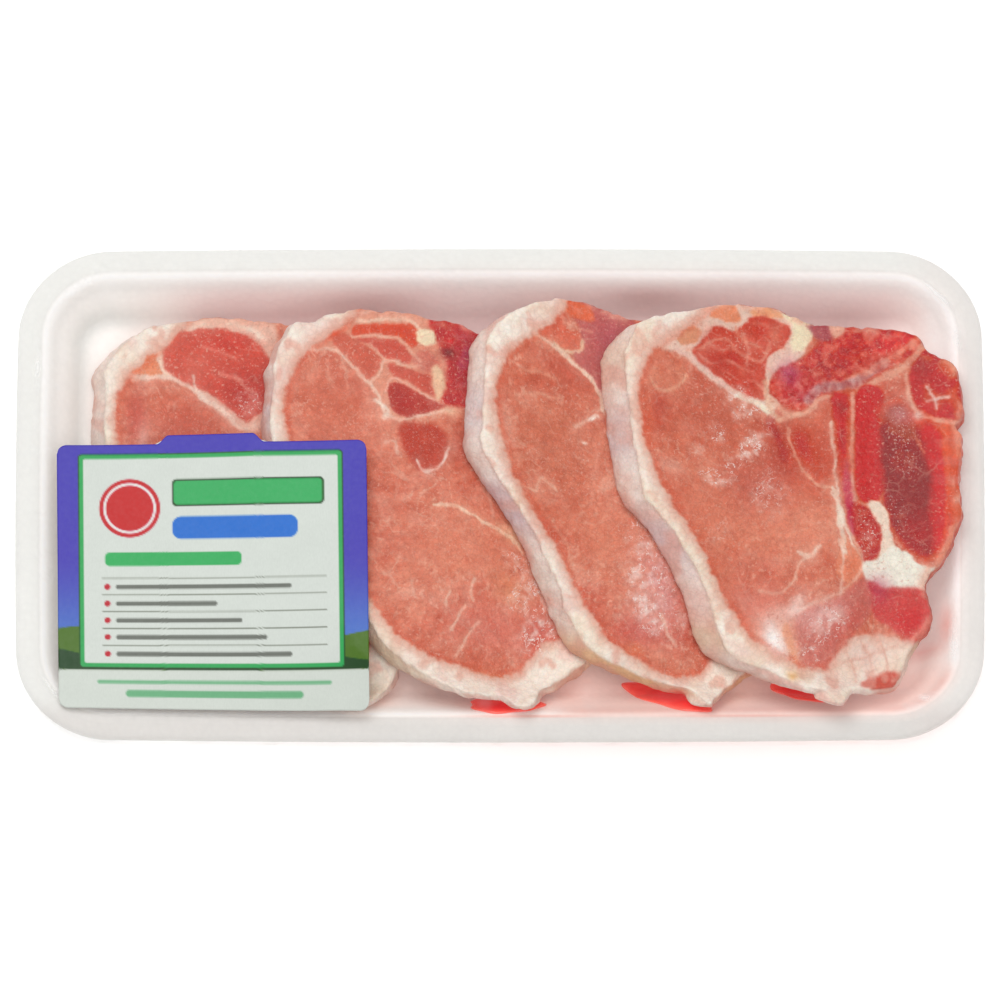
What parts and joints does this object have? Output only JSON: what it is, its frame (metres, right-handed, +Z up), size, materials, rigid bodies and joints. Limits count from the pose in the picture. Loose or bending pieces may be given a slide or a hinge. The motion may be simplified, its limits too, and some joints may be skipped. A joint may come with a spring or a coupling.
{
  "type": "meat tray pack",
  "caption": "Shallow white foam tray of shingled thin-cut bone-in loin chops, wrapped in clear stretch film, with a paper label on the film at one corner.",
  "frame": {"origin": "under the middle of the pack, at the lowest face of the film", "axes": "+X along the tray towards the uppermost chop, +Y to the back edge, +Z up"},
  "size_m": [0.2756, 0.1486, 0.0365],
  "materials": {
    "foam": "white expanded polystyrene foam, satin skin with faint beads",
    "film": "clear glossy stretch film, tight over the top, gathered below",
    "label": "coated printed paper sticker in plain colour fields",
    "lean": "moist raw pork lean, salmon pink with fine marbling",
    "fat": "moist cream-white pork fat",
    "bone": "sawn bone with red marrow and a pale rim",
    "juice": "thin red meat juice"
  },
  "bodies": {
    "root": {"tray": "foam", "chop_1_bone": "bone", "chop_1_fat": "fat", "chop_1_lean": "lean", "chop_2_bone": "bone", "chop_2_fat": "fat", "chop_2_lean": "lean", "chop_3_bone": "bone", "chop_3_fat": "fat", "chop_3_lean": "lean", "chop_4_bone": "bone", "chop_4_fat": "fat", "chop_4_lean": "lean", "juice_2": "juice", "juice_3": "juice", "juice_4": "juice", "film": "film", "label": "label"}
  },
  "joints": []
}
